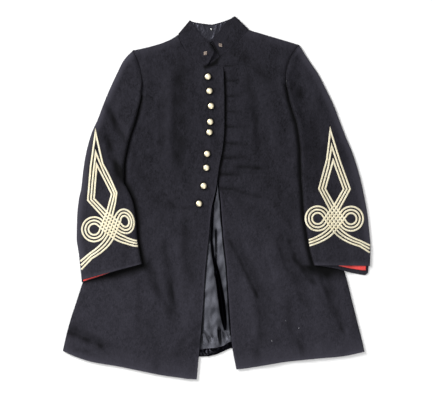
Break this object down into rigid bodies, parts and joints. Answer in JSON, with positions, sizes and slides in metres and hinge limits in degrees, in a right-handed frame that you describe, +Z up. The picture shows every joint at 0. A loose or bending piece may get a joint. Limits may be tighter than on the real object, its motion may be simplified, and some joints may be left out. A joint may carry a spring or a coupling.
{
  "type": "military tunic laid flat",
  "caption": "Dark wool military tunic with stand collar, ball buttons and a braid knot on each sleeve, laid flat on its back with the skirts spread.",
  "frame": {"origin": "middle of the outline, on the surface that the tunic lies on", "axes": "+Y from the hem to the collar, +X to the wearer's left, +Z up from the surface"},
  "size_m": [0.7995, 0.9441, 0.0204],
  "materials": {
    "wool": "matte melton",
    "lining": "satin",
    "gloss_lining": "glossy satin",
    "red_lining": "satin",
    "braid": "metallic braid",
    "brass": "polished",
    "nickel": "polished"
  },
  "bodies": {
    "root": {"back": "wool", "back_lining": "lining", "back_hem_facing": "gloss_lining", "front_right": "wool", "front_left": "wool", "button_1": "brass", "button_2": "brass", "button_3": "brass", "button_4": "brass", "button_5": "brass", "button_6": "brass", "button_7": "brass", "button_8": "brass", "button_9": "brass", "collar_right": "wool", "collar_left": "wool", "collar_pin_right": "brass", "collar_pin_left": "brass", "collar_lining": "gloss_lining", "collar_eyelet": "nickel", "under_sleeve_right": "wool", "under_sleeve_left": "wool", "top_sleeve_right": "wool", "top_sleeve_left": "wool", "cuff_lining_right": "red_lining", "cuff_lining_left": "red_lining", "braid_right": "braid", "braid_left": "braid"}
  },
  "joints": []
}
